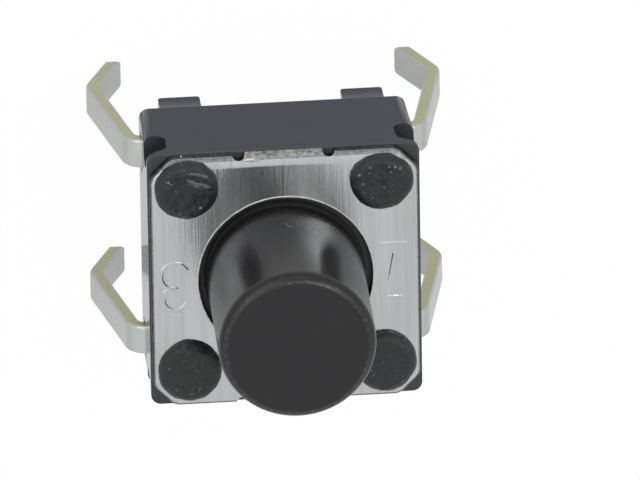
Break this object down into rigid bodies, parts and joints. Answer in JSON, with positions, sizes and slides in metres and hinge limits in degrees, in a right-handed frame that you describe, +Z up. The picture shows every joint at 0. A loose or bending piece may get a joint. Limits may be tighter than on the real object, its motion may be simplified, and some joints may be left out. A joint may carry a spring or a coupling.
{
  "type": "tactile push button switch",
  "caption": "Square through-hole tactile switch: moulded base, heat-staked metal cover, tall round button, snap dome and formed pins.",
  "frame": {"origin": "centre of the body in the plane of the four pin tips that it stands on; the board's surface is at z = 3.05 mm", "axes": "+Z up along the button, -Y the front, X along the line from one row of pins to the other"},
  "size_m": [0.0078, 0.006, 0.01],
  "materials": {
    "base_plastic": "black moulded, slightly glossy",
    "cover_steel": "brushed",
    "button_plastic": "black moulded, matte",
    "spring_steel": "bright",
    "plated_terminal": "silver plated, satin"
  },
  "bodies": {
    "housing": {"base": "base_plastic", "cover": "cover_steel", "snap_dome": "spring_steel", "front_terminal": "plated_terminal", "back_terminal": "plated_terminal"},
    "button": {"button": "button_plastic"}
  },
  "joints": [
    {"name": "button_press", "type": "slide", "parent": "housing", "child": "button", "axis": [0, 0, -1], "range_m": [0, 0.00025], "stiffness_N_per_m": 6400, "deforming": ["snap_dome"]}
  ]
}
